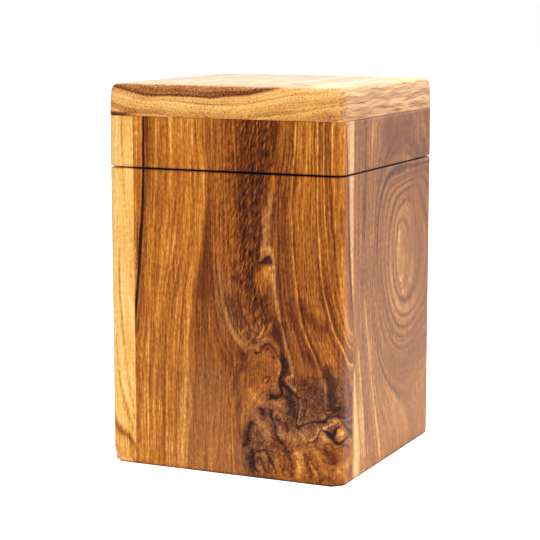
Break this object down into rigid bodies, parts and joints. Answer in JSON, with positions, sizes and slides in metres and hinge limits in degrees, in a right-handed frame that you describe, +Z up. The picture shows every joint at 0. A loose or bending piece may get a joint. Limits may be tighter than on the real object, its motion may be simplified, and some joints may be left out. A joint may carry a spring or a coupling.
{
  "type": "wooden spice box",
  "caption": "Tall square teak spice box (masala dabba) with a lift-off lid located by a thin lining, and a lift-out rack that carries round brass spice cups.",
  "frame": {"origin": "centre of the footprint, on the surface that the box stands on", "axes": "+Z up, +X towards the right wall, +Y from the front wall to the back wall"},
  "size_m": [0.12, 0.12, 0.182],
  "materials": {
    "teak": "oiled satin, dark figured heartwood",
    "lid_teak": "oiled satin, lighter board with end grain at the front",
    "lining_wood": "sanded and waxed, pale",
    "brass": "spun and polished, slightly dulled by use"
  },
  "bodies": {
    "case": {"wall_front": "teak", "wall_right": "teak", "wall_back": "teak", "wall_left": "teak", "base_board": "teak", "lining_front": "lining_wood", "lining_right": "lining_wood", "lining_back": "lining_wood", "lining_left": "lining_wood", "ledge_left": "lining_wood", "ledge_right": "lining_wood"},
    "lid": {"lid_rim_front": "teak", "lid_rim_right": "teak", "lid_rim_back": "teak", "lid_rim_left": "teak", "lid_top": "lid_teak"},
    "rack": {"cup_rack": "teak", "rack_knob": "brass", "knob_screw": "brass"},
    "cup_front_left": {"cup_front_left": "brass"},
    "cup_front_right": {"cup_front_right": "brass"},
    "cup_back_right": {"cup_back_right": "brass"},
    "cup_back_left": {"cup_back_left": "brass"}
  },
  "joints": [
    {"name": "lid_lift", "type": "slide", "parent": "case", "child": "lid", "axis": [0, 0, 1], "range_m": [0, 0.1]},
    {"name": "rack_lift", "type": "slide", "parent": "case", "child": "rack", "axis": [0, 0, 1], "range_m": [0, 0.03]},
    {"name": "cup_lift_front_left", "type": "slide", "parent": "rack", "child": "cup_front_left", "axis": [0, 0, 1], "range_m": [0, 0.043]},
    {"name": "cup_lift_front_right", "type": "slide", "parent": "rack", "child": "cup_front_right", "axis": [0, 0, 1], "range_m": [0, 0.043]},
    {"name": "cup_lift_back_right", "type": "slide", "parent": "rack", "child": "cup_back_right", "axis": [0, 0, 1], "range_m": [0, 0.043]},
    {"name": "cup_lift_back_left", "type": "slide", "parent": "rack", "child": "cup_back_left", "axis": [0, 0, 1], "range_m": [0, 0.043]}
  ]
}
